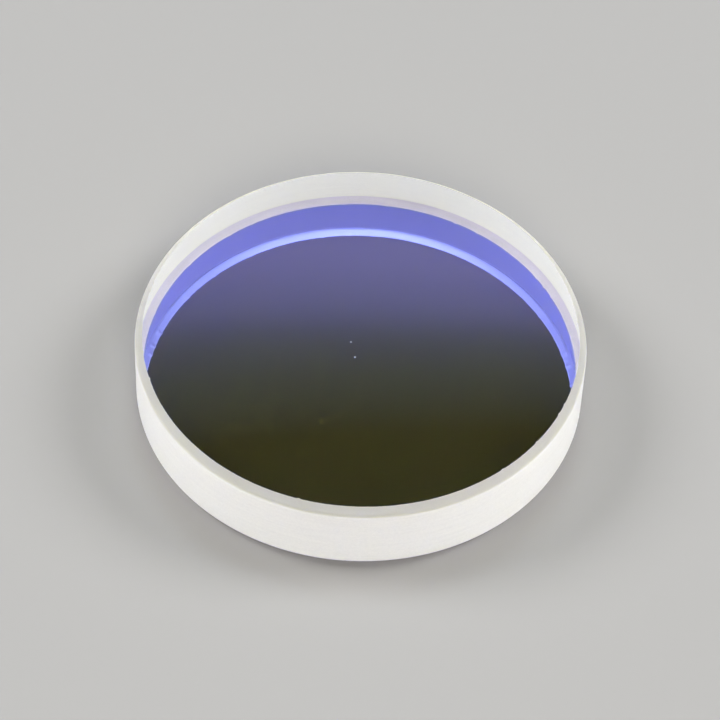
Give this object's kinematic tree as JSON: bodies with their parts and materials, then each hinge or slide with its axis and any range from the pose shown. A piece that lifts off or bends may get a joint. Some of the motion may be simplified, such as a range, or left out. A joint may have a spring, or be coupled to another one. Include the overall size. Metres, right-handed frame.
{
  "type": "laser protective window",
  "caption": "Round thick optical window of clear coated glass, with polished flat faces, a fine-ground white rim and small ground edge bevels.",
  "frame": {"origin": "centre of the lower polished face, where the optical axis leaves it", "axes": "+Z along the optical axis, from the lower face to the upper one; X and Y across the disc, which is round, so their turn about Z is free"},
  "size_m": [0.037, 0.037, 0.007],
  "materials": {
    "coated_silica": "polished and coated faces, fine-ground rim and bevels"
  },
  "bodies": {
    "root": {"protective_window": "coated_silica"}
  },
  "joints": []
}
